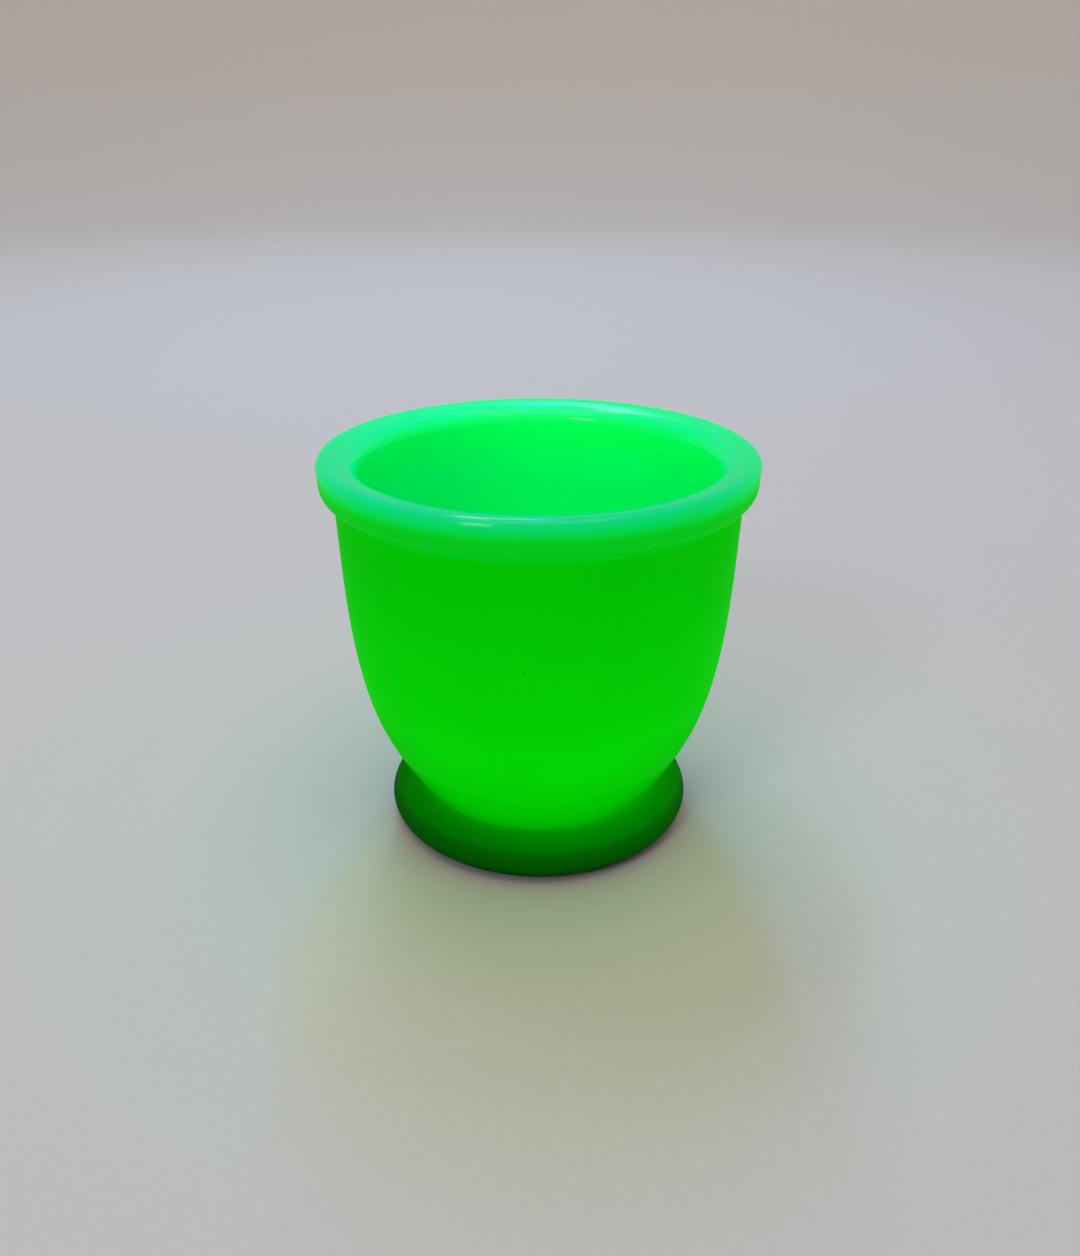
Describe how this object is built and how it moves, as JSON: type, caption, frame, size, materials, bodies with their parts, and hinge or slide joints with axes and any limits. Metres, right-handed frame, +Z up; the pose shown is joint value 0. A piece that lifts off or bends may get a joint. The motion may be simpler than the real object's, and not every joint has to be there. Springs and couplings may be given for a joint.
{
  "type": "footed glass cup",
  "caption": "Small deep cup in translucent glowing green uranium glass, with a thick rolled rim, a tapering round bowl and a heavy disc foot.",
  "frame": {"origin": "centre of the plane that the foot rests on", "axes": "+Z up along the cup's axis of revolution, out of its mouth; X and Y are arbitrary because the cup is round"},
  "size_m": [0.064, 0.064, 0.06],
  "materials": {
    "bowl_glass": "translucent, fire-polished, fluorescing bright green from within",
    "rim_glass": "translucent, fire-polished, fluorescing mint green, cooler than the bowl",
    "foot_glass": "translucent, fire-polished, a deeper and dimmer green than the bowl"
  },
  "bodies": {
    "root": {"bowl": "bowl_glass", "rolled_rim": "rim_glass", "foot": "foot_glass"}
  },
  "joints": []
}
